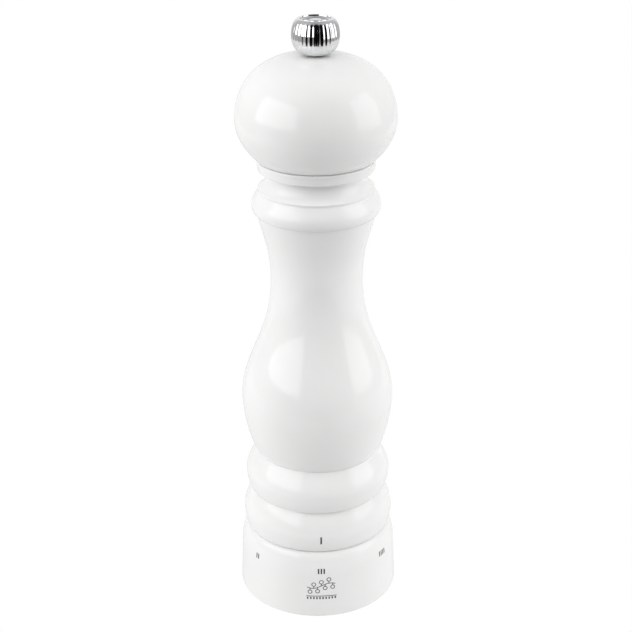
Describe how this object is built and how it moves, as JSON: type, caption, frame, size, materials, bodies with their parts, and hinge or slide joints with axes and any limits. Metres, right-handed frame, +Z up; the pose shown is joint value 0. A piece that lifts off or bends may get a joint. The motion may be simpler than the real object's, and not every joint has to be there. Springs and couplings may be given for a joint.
{
  "type": "pepper mill",
  "caption": "Turned wooden pepper mill with a twist head, a fluted clamping knob and a grind-setting ring at the foot over a steel rotor and stator.",
  "frame": {"origin": "centre of the foot, on the plane the mill stands on", "axes": "+Z up the spindle towards the knob, -Y towards the front, where the index mark is"},
  "size_m": [0.0596, 0.0596, 0.22],
  "materials": {
    "white_lacquer": "high-gloss white lacquer over turned beech",
    "raw_beech": "unlacquered turned beech inside the bore and recesses",
    "chrome": "mirror-bright chrome plate",
    "hardened_steel": "case-hardened, dark satin",
    "bright_steel": "bright zinc-plated steel",
    "spring_steel": "bright spring steel",
    "black_plastic": "moulded, fine satin texture",
    "dark_nylon": "matt nylon",
    "print_ink": "dark grey pad print"
  },
  "bodies": {
    "body": {"mill_body": "white_lacquer", "mechanism_housing": "black_plastic", "housing_screw_1": "bright_steel", "housing_screw_2": "bright_steel", "housing_screw_3": "bright_steel", "bearing_bridge": "bright_steel", "bridge_screw_1": "bright_steel", "bridge_screw_2": "bright_steel", "spring_washer": "bright_steel", "retaining_ring": "spring_steel", "detent_spring": "spring_steel"},
    "ring": {"adjusting_ring": "white_lacquer", "ring_nut": "black_plastic"},
    "grinder": {"stator_carrier": "black_plastic", "stator": "hardened_steel", "stator_screw_1": "bright_steel", "stator_screw_2": "bright_steel", "stator_screw_3": "bright_steel"},
    "drive": {"drive_shaft": "bright_steel", "rotor": "hardened_steel", "rotor_washer": "bright_steel", "rotor_nut": "bright_steel", "pressure_spring": "spring_steel", "spindle_clip": "spring_steel"},
    "head": {"mill_head": "white_lacquer", "drive_plate": "bright_steel", "plate_screw_1": "bright_steel", "plate_screw_2": "bright_steel"},
    "knob_seat": {"knob_washer": "dark_nylon"},
    "knob": {"knob": "chrome"}
  },
  "joints": [
    {"name": "ring_turn", "type": "hinge", "parent": "body", "child": "ring", "pos_m": [0, 0, 0.0133], "axis": [0, 0, 1], "range_deg": [-162, 108], "deforming": ["detent_spring"]},
    {"name": "stator_lift", "type": "slide", "parent": "body", "child": "grinder", "axis": [0, 0, 1], "range_m": [-0.00072, 0.00109]},
    {"name": "head_spin", "type": "hinge", "parent": "body", "child": "drive", "pos_m": [0, 0, 0.0422], "axis": [0, 0, 1], "continuous": true},
    {"name": "head_lift", "type": "slide", "parent": "drive", "child": "head", "axis": [0, 0, 1], "range_m": [0, 0.065]},
    {"name": "knob_rise", "type": "slide", "parent": "head", "child": "knob_seat", "axis": [0, 0, 1], "range_m": [0, 0.00561]},
    {"name": "knob_turn", "type": "hinge", "parent": "knob_seat", "child": "knob", "pos_m": [0, 0, 0.214], "axis": [0, 0, 1], "range_deg": [0, 2880]}
  ],
  "couplings": [
    {"joint": "stator_lift", "follows": "ring_turn", "m_per_rad": -0.00038197},
    {"joint": "knob_rise", "follows": "knob_turn", "m_per_rad": 0.00011141}
  ]
}
